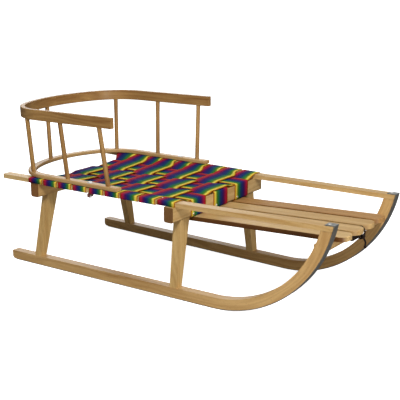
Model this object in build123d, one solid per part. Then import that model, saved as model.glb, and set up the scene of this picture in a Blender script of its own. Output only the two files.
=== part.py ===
from build123d import *
from math import atan, atan2, cos, degrees, hypot, sin, sqrt
import os

# A child's beech sled with a bent-wood backrest, a woven webbing seat and a slatted footrest.
# Millimetres. +X is the front, +Y the rider's left, +Z up. The origin is on the ground, under the
# middle of the sled.

# Driving sizes of the runners and their steel strips
runner_rear_x = -439.0
bend_start_x = 165.5
bend_radius = 291.0
runner_thickness = 22.0
runner_depth_rear = 21.0
runner_depth_bend = 24.0
runner_heel_radius = 8.0
track_half_rear = 190.0
track_half_front = 163.0
strip_thickness = 2.0
strip_width = 20.0
strip_rear_x = -428.0
strip_fold = 20.0

# Driving sizes of the side rails
rail_rear_x = -451.5
rail_kink_x = 90.0
rail_front_setback = 1.6
rail_low_rear = 213.0
rail_low_kink = 216.4
rail_low_front = 224.4
rail_thickness = 10.5
rail_width = 25.0
rail_half_rear = 199.0
rail_half_front = 164.5
rail_end_radius = 5.0

# Driving sizes of the crossbars and legs
bar_thickness = 25.0
bar_depth = 35.0
bar_edge_radius = 5.0
front_bar_x = 59.5
rear_bar_x = -346.0
front_bar_half = 187.5
rear_bar_half = 194.0
rear_bar_dish_depth = 8.5
rear_bar_dish_half = 150.0
leg_thickness = 19.5
leg_top_width = 34.0
leg_foot_width = 20.5
leg_foot_inset = 1.0
front_leg_top_half = 154.5
rear_leg_top_half = 156.0
front_leg_top_x = 59.5
front_leg_foot_x = 61.5
rear_leg_top_x = -347.5
rear_leg_foot_x = -352.0
tenon_shoulder = 4.0
foot_tenon_depth = 15.0
top_tenon_depth = 24.0

# Driving sizes of the footrest
slat_width = 46.0
slat_gap = 9.3
slat_thickness = 10.5
slat_nose_radius = 19.0
slat_rear_x = 47.5
slat_nose_ahead = 0.5
slat_rise = 18.0
slat_edge_radius = 1.5
foot_bar_setback = 40.0
foot_bar_width = 26.0
foot_bar_thickness = 15.0
foot_tenon_width = 12.0
foot_tenon_height = 9.0
foot_tenon_length = 12.0
foot_tenon_forward = 5.0

# Driving sizes of the backrest
top_tip_left_x = -95.0
top_tip_right_x = -87.0
low_tip_left_x = -89.0
low_tip_right_x = -89.0
hoop_bend_x = -325.0
low_hoop_overhang = 1.0
low_hoop_reach = 132.0
low_hoop_width = 20.0
low_hoop_thickness = 9.5
low_hoop_corner_share = 0.8333
top_hoop_flare = 14.5
top_hoop_reach = 135.0
top_hoop_width = 11.0
top_hoop_height = 25.5
top_hoop_corner_share = 0.852
top_hoop_top = 175.4
top_hoop_slope = 0.0187
low_hoop_edge_radius = 2.5
top_hoop_edge_radius = 1.5
spindle_diameter = 11.0
spindle_foot_depth = 6.0
spindle_head_depth = 12.0
spindle_tenon_diameter = 7.0

# Driving sizes of the bolts that hold the backrest
bolt_x = -176.2
bolt_diameter = 6.0
bolt_head_diameter = 15.0
bolt_head_height = 3.2
bolt_length = 36.0
nut_boss_diameter = 10.0
nut_boss_height = 6.0
nut_wing_span = 20.0
nut_wing_height = 10.0
nut_wing_thickness = 2.4

# Driving sizes of the webbing
webbing_thickness = 1.5
webbing_gap = 0.2
weave_step = 2.1
cross_strap_tuck = 15.0
long_strap_width = 58.0
long_strap_pitch = 91.0
long_strap_tuck = 15.0
long_strap_sag = 2.0
long_strap_stations = 9
strap_run_out = 2.0
strap_middle_gap = 1.5

# Driving sizes of the tow cord
cord_diameter = 3.5
cord_coil_diameter = 11.5
cord_coil_length = 44.0
cord_loop_width = 7.4
cord_knot_diameter = 10.0
cord_end_knot_diameter = 7.0
cord_gap = 0.3

overrun = 30.0


# Places that follow from the sizes above
bend_centre_z = bend_radius
wood_bend_radius = bend_radius - strip_thickness
inner_bend_radius = wood_bend_radius - runner_depth_bend
strip_nose_z = rail_low_front + rail_thickness
strip_nose_x = bend_start_x + sqrt(bend_radius**2 - (bend_centre_z - strip_nose_z) ** 2)
rail_front_x = strip_nose_x - rail_front_setback
slat_nose_x = rail_front_x + slat_nose_ahead
foot_bar_x = rail_front_x - foot_bar_setback
rail_slope = (rail_low_kink - rail_low_rear) / (rail_kink_x - rail_rear_x)
rail_nose_slope = (rail_low_front - rail_low_kink) / (rail_front_x - rail_kink_x)
track_toe = (track_half_rear - track_half_front) / (rail_front_x - runner_rear_x)
track_half_middle = track_half_front + track_toe * rail_front_x
rail_toe = (rail_half_rear - rail_half_front) / (rail_front_x - rail_rear_x)
rail_half_middle = rail_half_front + rail_toe * rail_front_x


def rail_low(x):
    """The height of a rail's underside at x."""
    if x < rail_kink_x:
        return rail_low_kink + rail_slope * (x - rail_kink_x)
    return rail_low_kink + rail_nose_slope * (x - rail_kink_x)


def rail_half(x):
    """Half the width over the rails' outer faces at x."""
    return rail_half_middle - rail_toe * x


def track_half(x):
    """Half the width over the runners' outer faces at x."""
    return track_half_middle - track_toe * x


def runner_top(x):
    """The height of a runner's upper face at x, behind its bend."""
    share = (x - runner_rear_x) / (bend_start_x - runner_rear_x)
    return strip_thickness + runner_depth_rear + share * (runner_depth_bend - runner_depth_rear)


low_hoop_half = rail_half(bolt_x) + low_hoop_overhang
top_hoop_half = low_hoop_half + top_hoop_flare
low_hoop_corner = low_hoop_corner_share * low_hoop_reach
top_hoop_corner = top_hoop_corner_share * top_hoop_reach

front_bar_top = rail_low(front_bar_x - bar_thickness / 2)
rear_bar_top = rail_low(rear_bar_x - bar_thickness / 2)
front_bar_low = front_bar_top - bar_depth
rear_bar_low = rear_bar_top - bar_depth
front_bar_face = front_bar_x + bar_thickness / 2
rear_bar_face = rear_bar_x - bar_thickness / 2


def along_track(shape):
    """Turns a side piece, drawn with its outer face on XZ, to the runner's line on the left."""
    return Pos(0, track_half_middle, 0) * Rot(0, 0, -degrees(atan(track_toe))) * shape


def along_rail(shape):
    """Turns a side piece, drawn with its outer face on XZ, to the rail's line on the left."""
    return Pos(0, rail_half_middle, 0) * Rot(0, 0, -degrees(atan(rail_toe))) * shape


def other_side(shape):
    """The same piece on the rider's right."""
    return mirror(shape, about=Plane.XZ)


def on_xz(points):
    """A flat face on the XZ plane from (x, z) corners."""
    return make_face(Plane.XZ * Polyline(*points, close=True))


def inward(face, start, thickness):
    """Extrudes a face on XZ towards -Y, from start to start + thickness."""
    return Pos(0, -start, 0) * extrude(face, thickness, dir=(0, -1, 0))


def forward(points, start, thickness):
    """Extrudes a flat outline of (y, z) corners towards +X, from start to start + thickness."""
    face = make_face(Plane.YZ * Polyline(*points, close=True))
    return Pos(start, 0, 0) * extrude(face, thickness, dir=(1, 0, 0))


def ribbon(points, thickness):
    """The corners of a band of even thickness that follows a line of (u, v) points."""
    near, far = [], []
    for i, (u, v) in enumerate(points):
        before = points[max(i - 1, 0)]
        after = points[min(i + 1, len(points) - 1)]
        along = []
        for a, b in ((before, (u, v)), ((u, v), after)):
            run = hypot(b[0] - a[0], b[1] - a[1])
            if run > 0:
                along.append(((b[0] - a[0]) / run, (b[1] - a[1]) / run))
        normal_u = -sum(d[1] for d in along) / len(along)
        normal_v = sum(d[0] for d in along) / len(along)
        reach = thickness / 2 / (normal_u**2 + normal_v**2)
        near.append((u + normal_u * reach, v + normal_v * reach))
        far.append((u - normal_u * reach, v - normal_v * reach))
    return near + far[::-1]


# Side rails: flat strips that rise a little in front of the seat
def rail_outline():
    """The side view of a rail, long enough to be trimmed by the steel strip's bend."""
    nose_x = rail_front_x + overrun
    low = [(rail_rear_x, rail_low(rail_rear_x)), (rail_kink_x, rail_low_kink), (nose_x, rail_low(nose_x))]
    high = [(x, z + rail_thickness) for x, z in low]
    return on_xz(low + high[::-1])


def bend_cutter(radius):
    """All that lies in front of a circle round the bend's centre, as a side piece."""
    ring = Circle(bend_radius + 2 * overrun) - Circle(radius)
    quarter = Pos(bend_radius, -bend_radius / 2) * Rectangle(2 * bend_radius, bend_radius + 2 * overrun)
    face = Plane.XZ * (Pos(bend_start_x, bend_centre_z) * (ring & quarter))
    return inward(face, -overrun, rail_width + 2 * overrun)


rail_body = inward(rail_outline(), 0, rail_width)
end_edges = rail_body.edges().filter_by(lambda e: e.center().X < rail_rear_x + webbing_gap and e.length < rail_width / 2)
rail_body = fillet(end_edges, rail_end_radius)
side_rail = along_rail(rail_body) - along_track(bend_cutter(wood_bend_radius))

# Runners: planks on edge with a round bend up to the rails
outer_line = [
    Line((runner_rear_x, strip_thickness), (bend_start_x, strip_thickness)),
    CenterArc((bend_start_x, bend_centre_z), wood_bend_radius, -90, 85),
]
inner_line = [
    CenterArc((bend_start_x, bend_centre_z), inner_bend_radius, -90, 85),
    Line((bend_start_x, bend_centre_z - inner_bend_radius), (runner_rear_x, runner_top(runner_rear_x))),
]
ends = [
    Line(outer_line[1] @ 1, inner_line[0] @ 1),
    Line((runner_rear_x, runner_top(runner_rear_x)), (runner_rear_x, strip_thickness)),
]
runner_face = Plane.XZ * make_face(outer_line + inner_line + ends)
runner_body = inward(runner_face, 0, runner_thickness)
heel = [e for e in runner_body.edges() if e.center().X < runner_rear_x + webbing_gap and e.center().Z < strip_thickness + webbing_gap]
runner_body = fillet(heel, runner_heel_radius)
over_rail = on_xz([
    (0, rail_low(0)),
    (rail_kink_x, rail_low_kink),
    (rail_front_x + overrun, rail_low(rail_front_x + overrun)),
    (rail_front_x + overrun, 2 * bend_radius),
    (0, 2 * bend_radius),
])
runner = along_track(runner_body) - along_rail(inward(over_rail, -overrun, rail_width + 2 * overrun))

# Steel strips: under the runners, up the bend and folded over the rails' ends
def rail_top(x):
    """The height of a rail's upper face at x."""
    return rail_low(x) + rail_thickness


strip_flat = on_xz([(strip_rear_x, 0), (bend_start_x, 0), (bend_start_x, strip_thickness), (strip_rear_x, strip_thickness)])
below_fold = on_xz([
    (bend_start_x, 0),
    (rail_front_x + overrun, 0),
    (rail_front_x + overrun, rail_top(rail_front_x + overrun) + strip_thickness),
    (bend_start_x, rail_top(bend_start_x) + strip_thickness),
])
disc = Plane.XZ * (Pos(bend_start_x, bend_centre_z) * Circle(bend_radius))
hole = Plane.XZ * (Pos(bend_start_x, bend_centre_z) * Circle(wood_bend_radius))
fold_back_x = rail_front_x - strip_fold
fold = on_xz([
    (fold_back_x, rail_top(fold_back_x)),
    (rail_front_x + overrun, rail_top(rail_front_x + overrun)),
    (rail_front_x + overrun, rail_top(rail_front_x + overrun) + strip_thickness),
    (fold_back_x, rail_top(fold_back_x) + strip_thickness),
])
strip_inset = (runner_thickness - strip_width) / 2
strip_bend = inward((disc - hole) & below_fold, strip_inset, strip_width)
strip_fold_body = inward(disc & fold, strip_inset, strip_width)
strip = along_track(inward(strip_flat, strip_inset, strip_width) + strip_bend + strip_fold_body)

# Crossbars under the rails, and the legs tenoned into them and into the runners
def crossbar(x, half, low):
    body = Pos(x, 0, low + bar_depth / 2) * Box(bar_thickness, 2 * half, bar_depth)
    long_edges = [e for e in body.edges().filter_by(Axis.Y) if e.center().Z < low + bar_edge_radius]
    return fillet(long_edges, bar_edge_radius)


def board(low_end, high_end, thickness):
    """A tapered board between two level ends, each given by its (x, outer y, inner y, z)."""
    ends = []
    for x, outer, inner, z in (low_end, high_end):
        ends.append(Pos(x, (outer + inner) / 2, z) * Rectangle(thickness, outer - inner))
    return loft(ends, ruled=True)


def leg(top_x, foot_x, top_half, low):
    """A left leg: a tapered board that leans in, with a tenon at each end."""
    foot_z = runner_top(foot_x)
    foot_half = track_half(foot_x) - leg_foot_inset
    rise = low - foot_z
    foot = (foot_x, foot_half, foot_half - leg_foot_width, foot_z)
    head = (top_x, top_half, top_half - leg_top_width, low)
    steps = [(high - below) / rise for below, high in zip(foot, head)]
    foot_shoulders = (foot_x, foot_half - tenon_shoulder, foot_half - leg_foot_width + tenon_shoulder, foot_z)
    head_shoulders = (top_x, top_half - tenon_shoulder, top_half - leg_top_width + tenon_shoulder, low)
    foot_tip = tuple(value - step * foot_tenon_depth for value, step in zip(foot_shoulders, steps))
    head_tip = tuple(value + step * top_tenon_depth for value, step in zip(head_shoulders, steps))
    tenon_thickness = leg_thickness - 2 * tenon_shoulder
    foot_tenon = board(foot_tip, foot_shoulders, tenon_thickness)
    head_tenon = board(head_shoulders, head_tip, tenon_thickness)
    return board(foot, head, leg_thickness) + foot_tenon + head_tenon


front_bar = crossbar(front_bar_x, front_bar_half, front_bar_low)
rear_bar = crossbar(rear_bar_x, rear_bar_half, rear_bar_low)
dish_radius = (rear_bar_dish_half**2 + rear_bar_dish_depth**2) / (2 * rear_bar_dish_depth)
dish_place = Pos(rear_bar_x, 0, rear_bar_top - rear_bar_dish_depth + dish_radius) * Rot(0, 90, 0)
rear_bar = rear_bar - dish_place * Cylinder(dish_radius, 2 * bar_thickness)
front_leg = leg(front_leg_top_x, front_leg_foot_x, front_leg_top_half, front_bar_low)
rear_leg = leg(rear_leg_top_x, rear_leg_foot_x, rear_leg_top_half, rear_bar_low)
front_bar = front_bar - front_leg - other_side(front_leg)
rear_bar = rear_bar - rear_leg - other_side(rear_leg)
runner = runner - front_leg - rear_leg

# Footrest: slats from under the front crossbar, rising to a low crossbar between the runners
slat_rear_top = front_bar_low - webbing_thickness - 2 * webbing_gap
slat_slope = slat_rise / (slat_nose_x - front_bar_face)


def slat_low(x):
    """The height of the slats' underside at x."""
    return slat_rear_top - slat_thickness + slat_slope * (x - front_bar_face)


def slat(y):
    length = slat_nose_x - slat_rear_x
    board = Rectangle(length, slat_width, align=(Align.MIN, Align.CENTER))
    nose = board.vertices().filter_by(lambda v: v.X > length / 2)
    board = fillet(nose, slat_nose_radius)
    body = extrude(board, slat_thickness)
    rims = [e for e in body.edges() if e.center().Z > slat_thickness - webbing_gap and e.center().X > webbing_gap]
    body = fillet(rims, slat_edge_radius)
    return Pos(slat_rear_x, y, slat_low(slat_rear_x)) * Rot(0, -degrees(atan(slat_slope)), 0) * body


slat_pitch = slat_width + slat_gap
slat_places = [(i - 1.5) * slat_pitch for i in range(4)]
slats = [slat(y) for y in slat_places]

foot_bar_half = track_half(foot_bar_x) - runner_thickness
foot_bar_section = [
    (foot_bar_x - foot_bar_width / 2, slat_low(foot_bar_x - foot_bar_width / 2) - foot_bar_thickness),
    (foot_bar_x + foot_bar_width / 2, slat_low(foot_bar_x + foot_bar_width / 2) - foot_bar_thickness),
    (foot_bar_x + foot_bar_width / 2, slat_low(foot_bar_x + foot_bar_width / 2)),
    (foot_bar_x - foot_bar_width / 2, slat_low(foot_bar_x - foot_bar_width / 2)),
]
foot_bar_body = inward(on_xz(foot_bar_section), -2 * foot_bar_half, 4 * foot_bar_half)
between_runners = on_xz([
    (0, 0),
    (rail_front_x, 0),
    (rail_front_x, rail_low_front),
    (0, rail_low_front),
])
inner_side = along_track(inward(between_runners, runner_thickness, 2 * track_half_rear))
foot_bar = foot_bar_body & inner_side & other_side(inner_side)
tenon_x = foot_bar_x + foot_tenon_forward
tenon_z = slat_low(tenon_x) - foot_bar_thickness / 2
tenon_length = 2 * (foot_bar_half + foot_tenon_length)
foot_bar = foot_bar + Pos(tenon_x, 0, tenon_z) * Box(foot_tenon_width, tenon_length, foot_tenon_height)
runner = runner - foot_bar

# Backrest: two bent hoops, open to the front, with spindles between them
seat_gap = webbing_thickness + 3 * webbing_gap
back_base = rail_low(0) + rail_thickness + seat_gap


def in_back_frame(shape):
    """Sets a piece of the backrest, drawn from the seat straps up, on the sloping rails."""
    return Pos(0, 0, back_base) * Rot(0, -degrees(atan(rail_slope)), 0) * shape


def back_radius(half, reach, corner):
    """The radius of a hoop's wide back, which runs smoothly into its two corners."""
    return (reach**2 + (half - corner) ** 2 - corner**2) / (2 * (reach - corner))


def hoop_line(half, reach, corner, inset, left_tip_x, right_tip_x):
    """A hoop's outline, moved in by inset: straight arms, two tight corners and a wide back."""
    back = back_radius(half, reach, corner)
    corner_y = half - corner
    back_x = hoop_bend_x - reach + back
    turn = degrees(atan2(corner_y, back_x - hoop_bend_x))
    left = CenterArc((hoop_bend_x, corner_y), corner - inset, 90, 90 - turn)
    rear = CenterArc((back_x, 0), back - inset, 180 - turn, 2 * turn)
    right = CenterArc((hoop_bend_x, -corner_y), corner - inset, 180 + turn, 90 - turn)
    left_arm = Line((left_tip_x, half - inset), (hoop_bend_x, half - inset))
    right_arm = Line((hoop_bend_x, -half + inset), (right_tip_x, -half + inset))
    return [left_arm, left, rear, right, right_arm]


def hoop(half, reach, corner, width, height, edge_radius, left_tip_x, right_tip_x):
    outer = hoop_line(half, reach, corner, 0, left_tip_x, right_tip_x)
    inner = hoop_line(half, reach, corner, width, left_tip_x, right_tip_x)
    left_tip = Line((left_tip_x, half), (left_tip_x, half - width))
    right_tip = Line((right_tip_x, -half), (right_tip_x, width - half))
    tips = [left_tip, right_tip]
    body = extrude(make_face(outer + inner + tips), height, dir=(0, 0, 1))
    rims = body.edges().filter_by(lambda e: abs(e.center().Z - height / 2) > edge_radius)
    return fillet(rims, edge_radius)


low_hoop = hoop(
    low_hoop_half,
    low_hoop_reach,
    low_hoop_corner,
    low_hoop_width,
    low_hoop_thickness,
    low_hoop_edge_radius,
    low_tip_left_x,
    low_tip_right_x,
)
top_hoop = hoop(
    top_hoop_half,
    top_hoop_reach,
    top_hoop_corner,
    top_hoop_width,
    top_hoop_height,
    top_hoop_edge_radius,
    top_tip_left_x,
    top_tip_right_x,
)
top_hoop_tilt = degrees(atan(top_hoop_slope) - atan(rail_slope))
top_hoop_place = Pos(0, 0, top_hoop_top - top_hoop_height) * Rot(0, -top_hoop_tilt, 0)
top_hoop = top_hoop_place * top_hoop
slab_size = 4 * (rail_front_x - rail_rear_x)
slab_above = Box(slab_size, slab_size, overrun, align=(Align.CENTER, Align.CENTER, Align.MIN))
slab_below = Box(slab_size, slab_size, overrun, align=(Align.CENTER, Align.CENTER, Align.MAX))


def hoop_point(half, reach, corner, inset, place, at):
    """A point on a hoop: at is an x on the left arm or corner, or a y on the back."""
    if place == "back":
        back = back_radius(half, reach, corner)
        return (hoop_bend_x - reach + back - sqrt((back - inset) ** 2 - at**2), at)
    if at > hoop_bend_x:
        return (at, half - inset)
    drop = corner - inset
    return (at, half - corner + sqrt(drop**2 - (hoop_bend_x - at) ** 2))


# name, place on the hoops, foot and head (an x on an arm or corner, a y on the back)
spindle_table = [
    ("spindle_left_front", "left", -122.0, -131.0),
    ("spindle_left_middle", "left", -252.0, -265.0),
    ("spindle_left_rear", "left", -382.0, -393.0),
    ("spindle_back", "back", -34.0, -31.0),
    ("spindle_right_rear", "right", -374.0, -361.0),
    ("spindle_right_middle", "right", -247.0, -247.0),
    ("spindle_right_front", "right", -120.0, -126.0),
]


def spindle(place, foot_at, head_at):
    """A straight rod between the hoops' facing sides, and the thinner tenon that runs on into both."""
    foot = hoop_point(low_hoop_half, low_hoop_reach, low_hoop_corner, low_hoop_width / 2, place, foot_at)
    head = hoop_point(top_hoop_half, top_hoop_reach, top_hoop_corner, top_hoop_width / 2, place, head_at)
    start = Vector(foot[0], foot[1], low_hoop_thickness)
    end = Vector(head[0], head[1], top_hoop_top - top_hoop_height + head[0] * (top_hoop_slope - rail_slope))
    span = end - start
    axis = Plane(origin=start, z_dir=span)
    upright = (Align.CENTER, Align.CENTER, Align.MIN)
    slack = spindle_diameter
    rod = axis * Pos(0, 0, -slack) * Cylinder(spindle_diameter / 2, span.length + 2 * slack, align=upright)
    rod = rod - Pos(0, 0, low_hoop_thickness) * slab_below - top_hoop_place * slab_above
    pin_length = span.length + spindle_foot_depth + spindle_head_depth
    pin = axis * Pos(0, 0, -spindle_foot_depth) * Cylinder(spindle_tenon_diameter / 2, pin_length, align=upright)
    return rod + pin, pin


spindles = {}
for name, place, foot_at, head_at in spindle_table:
    rod, pin = spindle(place, foot_at, head_at)
    spindles[name] = other_side(rod) if place == "right" else rod
    seat = other_side(pin) if place == "right" else pin
    low_hoop = low_hoop - seat
    top_hoop = top_hoop - seat

# Bolts through the lower hoop and the rails, with wing nuts below
bolt_y = low_hoop_half - low_hoop_width / 2
bolt_shank = Pos(bolt_x, bolt_y, low_hoop_thickness) * Cylinder(
    bolt_diameter / 2, bolt_length, align=(Align.CENTER, Align.CENTER, Align.MAX)
)
dome_radius = (bolt_head_diameter**2 / 4 + bolt_head_height**2) / (2 * bolt_head_height)
dome = Pos(0, 0, bolt_head_height - dome_radius) * Sphere(dome_radius)
dome = dome & Cylinder(
    bolt_head_diameter / 2, bolt_head_height, align=(Align.CENTER, Align.CENTER, Align.MIN)
)
bolt = bolt_shank + Pos(bolt_x, bolt_y, low_hoop_thickness) * dome
low_hoop = low_hoop - bolt_shank - other_side(bolt_shank)
nut_top = -2 * seat_gap - rail_thickness
wing = Box(nut_wing_thickness, nut_wing_span, nut_wing_height, align=(Align.CENTER, Align.CENTER, Align.MAX))
notch = Pos(0, 0, -nut_boss_height) * Box(
    nut_boss_diameter, nut_boss_diameter, nut_wing_height, align=(Align.CENTER, Align.CENTER, Align.MAX)
)
wing_tips = [e for e in wing.edges().filter_by(Axis.X)]
wing = fillet(wing_tips, nut_wing_height / 3)
boss = Cylinder(nut_boss_diameter / 2, nut_boss_height, align=(Align.CENTER, Align.CENTER, Align.MAX))
nut = (wing - notch) + boss
nut = Pos(bolt_x, bolt_y, nut_top) * nut - bolt_shank

backrest_low = in_back_frame(low_hoop)
backrest_top = in_back_frame(top_hoop)
bolt_left = in_back_frame(bolt)
nut_left = in_back_frame(nut)
side_rail = side_rail - in_back_frame(bolt_shank)

# Woven seat: straps across the rails, and three straps along, round the two crossbars
# rear edge and front edge of each strap at the rails, from the rear, as shares of the run over both crossbars
cross_strap_shares = [
    (0.001, 0.094),
    (0.102, 0.201),
    (0.2125, 0.3055),
    (0.3195, 0.4125),
    (0.4355, 0.531),
    (0.5435, 0.639),
    (0.649, 0.762),
    (0.7725, 0.8745),
    (0.8895, 0.9995),
]
lift = webbing_gap + webbing_thickness / 2
long_rear_z = rear_bar_top + webbing_thickness + weave_step + webbing_gap
long_front_z = front_bar_top + webbing_thickness + weave_step + webbing_gap
seat_run = front_bar_face - rear_bar_face
free_rear_x = rear_bar_x + bar_thickness / 2
free_front_x = front_bar_x - bar_thickness / 2
free_run = free_front_x - free_rear_x


def long_strap_z(x, y):
    """The height of the lengthwise straps' middle, with their sag and the rear crossbar's dish."""
    share = min(max((x - free_rear_x) / free_run, 0), 1)
    sag = 4 * long_strap_sag * share * (1 - share)
    dish = rear_bar_dish_depth * (1 - share) * max(1 - (y / rear_bar_dish_half) ** 2, 0)
    return long_rear_z + share * (long_front_z - long_rear_z) - sag - dish


def long_strap_side(y):
    """The side view of a lengthwise strap at y."""
    rear, front = rear_bar_face - lift, front_bar_face + lift
    step = free_run / long_strap_stations
    line = [(rear_bar_face + long_strap_tuck, rear_bar_low - lift), (rear, rear_bar_low - lift)]
    line += [(rear, long_strap_z(rear_bar_face, y))]
    for i in range(long_strap_stations + 1):
        x = free_rear_x + step * i
        line += [(x, long_strap_z(x, y))]
    line += [(front, long_strap_z(front_bar_face, y)), (front, front_bar_low - lift)]
    line += [(front_bar_face - long_strap_tuck, front_bar_low - lift)]
    return Pos(0, y, 0) * on_xz(ribbon(line, webbing_thickness))


def long_strap(y):
    """A lengthwise strap, skinned between its two sides."""
    half = long_strap_width / 2
    return loft([long_strap_side(y - half), long_strap_side(y + half)], ruled=True)


def cross_strap_section(x, middle, on_bar):
    """The section of a cross strap at x, from rail to rail."""
    half_flat = long_strap_width / 2 + strap_run_out
    outer = rail_half(x) + lift
    inner = rail_half(x) - rail_width - lift
    half_line = [
        (half_flat, long_strap_z(x, half_flat) + middle),
        (long_strap_pitch - half_flat, long_strap_z(x, long_strap_pitch - half_flat) - middle),
        (long_strap_pitch + half_flat, long_strap_z(x, long_strap_pitch + half_flat) - middle),
        (inner, rail_top(x) + lift),
        (outer, rail_top(x) + lift),
    ]
    if on_bar:
        half_line += [(outer, rail_low(x) + webbing_gap)]
    else:
        half_line += [(outer, rail_low(x) - lift), (outer - cross_strap_tuck, rail_low(x) - lift)]
    line = [(-y, z) for y, z in half_line[::-1]] + half_line
    return Pos(x, 0, 0) * make_face(Plane.YZ * Polyline(*ribbon(line, webbing_thickness), close=True))


def cross_strap(number, at_rails, in_middle):
    """A strap from rail to rail: over the middle lengthwise strap and under the outer two, or the reverse."""
    middle = weave_step if number % 2 == 0 else -weave_step
    on_bar = number in (0, len(cross_strap_shares) - 1)
    rear_x, front_x = min(at_rails[0], in_middle[0]), max(at_rails[1], in_middle[1])
    stations = [x for x in (free_rear_x, free_front_x) if rear_x < x < front_x]
    sections = [cross_strap_section(x, middle, on_bar) for x in (rear_x, *stations, front_x)]
    body = loft(sections, ruled=True)
    far = rail_half_rear + overrun
    wide = long_strap_pitch + long_strap_width / 2
    narrow = rail_half_front - rail_width
    half_plan = [(wide, in_middle), (narrow, at_rails), (far, at_rails)]
    rear_side = [(edges[0], y) for y, edges in half_plan]
    front_side = [(edges[1], y) for y, edges in half_plan]
    left_side = rear_side + front_side[::-1]
    right_side = [(x, -y) for x, y in front_side + rear_side[::-1]]
    plan = make_face(Polyline(*left_side, *right_side, close=True))
    return body & extrude(plan, 2 * rail_low_front)


def strap_edges_at_rails(shares):
    """The rear and front edge of a cross strap at the rails."""
    return [rear_bar_face + share * seat_run for share in shares]


edges_at_rails = [strap_edges_at_rails(shares) for shares in cross_strap_shares]
meetings = [(a[1] + b[0]) / 2 for a, b in zip(edges_at_rails, edges_at_rails[1:])]
middle_rears = [edges_at_rails[0][0]] + [x + strap_middle_gap / 2 for x in meetings]
middle_fronts = [x - strap_middle_gap / 2 for x in meetings] + [edges_at_rails[-1][1]]
edges_in_middle = zip(middle_rears, middle_fronts)
cross_straps = [cross_strap(i, *edges) for i, edges in enumerate(zip(edges_at_rails, edges_in_middle))]
long_straps = [long_strap(long_strap_pitch * side) for side in (-1, 0, 1)]

# Tow cord: a turn round the footrest crossbar between the middle slats, a wound coil and a short tail
cord_front_x = foot_bar_x + foot_bar_width / 2
cord_mid_z = slat_low(cord_front_x) - foot_bar_thickness / 2
loop_thickness = cord_diameter
loop_outer = [
    (foot_bar_x - foot_bar_width / 2 - cord_gap - loop_thickness, slat_low(foot_bar_x) - foot_bar_thickness - 2 * cord_gap - loop_thickness),
    (cord_front_x + cord_gap + loop_thickness, slat_low(foot_bar_x) - foot_bar_thickness - 2 * cord_gap - loop_thickness),
    (cord_front_x + cord_gap + loop_thickness, slat_low(foot_bar_x) + 3 * cord_gap + loop_thickness),
    (foot_bar_x - foot_bar_width / 2 - cord_gap - loop_thickness, slat_low(foot_bar_x) + 3 * cord_gap + loop_thickness),
]
loop_inner = [
    (foot_bar_x - foot_bar_width / 2 - cord_gap, slat_low(foot_bar_x) - foot_bar_thickness - 3 * cord_gap),
    (cord_front_x + cord_gap, slat_low(foot_bar_x) - foot_bar_thickness - 3 * cord_gap),
    (cord_front_x + cord_gap, slat_low(foot_bar_x) + 3 * cord_gap),
    (foot_bar_x - foot_bar_width / 2 - cord_gap, slat_low(foot_bar_x) + 3 * cord_gap),
]
cord_loop = inward(on_xz(loop_outer) - on_xz(loop_inner), -cord_loop_width / 2, cord_loop_width)
coil_x = cord_front_x + cord_gap + cord_coil_diameter / 2
coil_z = slat_low(coil_x) - cord_gap - cord_coil_diameter / 2
coil_end_y = -cord_knot_diameter / 2 - cord_gap
cord_coil = Pos(coil_x, coil_end_y, coil_z) * Rot(90, 0, 0) * Cylinder(
    cord_coil_diameter / 2, cord_coil_length, align=(Align.CENTER, Align.CENTER, Align.MIN)
)
knot_x = cord_front_x + cord_gap + loop_thickness + cord_gap + cord_knot_diameter / 2
knot_z = coil_z
cord_knot = Pos(knot_x, 0, knot_z) * Sphere(cord_knot_diameter / 2)

# The tail's route, chosen by hand, as steps from the knot's middle: ahead of it, to the left, up
tail_steps = [
    (0.4, 1.5, -3.0),
    (1.9, 6.0, -9.0),
    (3.9, 11.0, -15.5),
    (5.4, 15.0, -23.5),
    (6.4, 18.0, -32.0),
]
tail_points = [Vector(knot_x + ahead, left, knot_z + up) for ahead, left, up in tail_steps]


def corner_radii(points):
    """The largest radius at each corner: 0.45 of the shorter run over the tangent of half the turn."""
    radii = []
    for a, b, c in zip(points, points[1:], points[2:]):
        turn = (b - a).get_angle(c - b)
        shorter = min((b - a).length, (c - b).length)
        half_turn = turn / 2 * atan(1) / 45
        radii.append(0.45 * shorter * cos(half_turn) / sin(half_turn))
    return radii


tail_radii = corner_radii(tail_points)
print("tail radii", [round(r, 1) for r in tail_radii])
tail_path = FilletPolyline(*tail_points, radius=tail_radii)
tail_plane = Plane(origin=tail_path @ 0, z_dir=tail_path % 0)
cord_tail = sweep(tail_plane * Circle(cord_diameter / 2), tail_path)
cord_tail = cord_tail - cord_knot
end_knot_place = tail_path @ 1
cord_end_knot = Pos(end_knot_place.X, end_knot_place.Y, end_knot_place.Z - cord_end_knot_diameter / 2) * Sphere(
    cord_end_knot_diameter / 2
)
cord_tail = cord_tail - cord_end_knot

# Every piece under its own name
pieces = {
    "runner_left": runner,
    "runner_strip_left": strip,
    "side_rail_left": side_rail,
    "leg_front_left": front_leg,
    "leg_rear_left": rear_leg,
    "backrest_bolt_left": bolt_left,
    "wing_nut_left": nut_left,
}
for name in list(pieces):
    pieces[name.replace("left", "right")] = other_side(pieces[name])
pieces["crossbar_front"] = front_bar
pieces["crossbar_rear"] = rear_bar
pieces["footrest_crossbar"] = foot_bar
for number, body in enumerate(slats, 1):
    pieces[f"footrest_slat_{number}"] = body
pieces["backrest_lower_hoop"] = backrest_low
pieces["backrest_upper_hoop"] = backrest_top
for name, body in spindles.items():
    pieces[name] = in_back_frame(body)
for number, body in enumerate(cross_straps, 1):
    pieces[f"cross_strap_{number}"] = body
for name, body in zip(("right", "middle", "left"), long_straps):
    pieces[f"long_strap_{name}"] = body
pieces["tow_cord_loop"] = cord_loop
pieces["tow_cord_coil"] = cord_coil
pieces["tow_cord_knot"] = cord_knot
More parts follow.
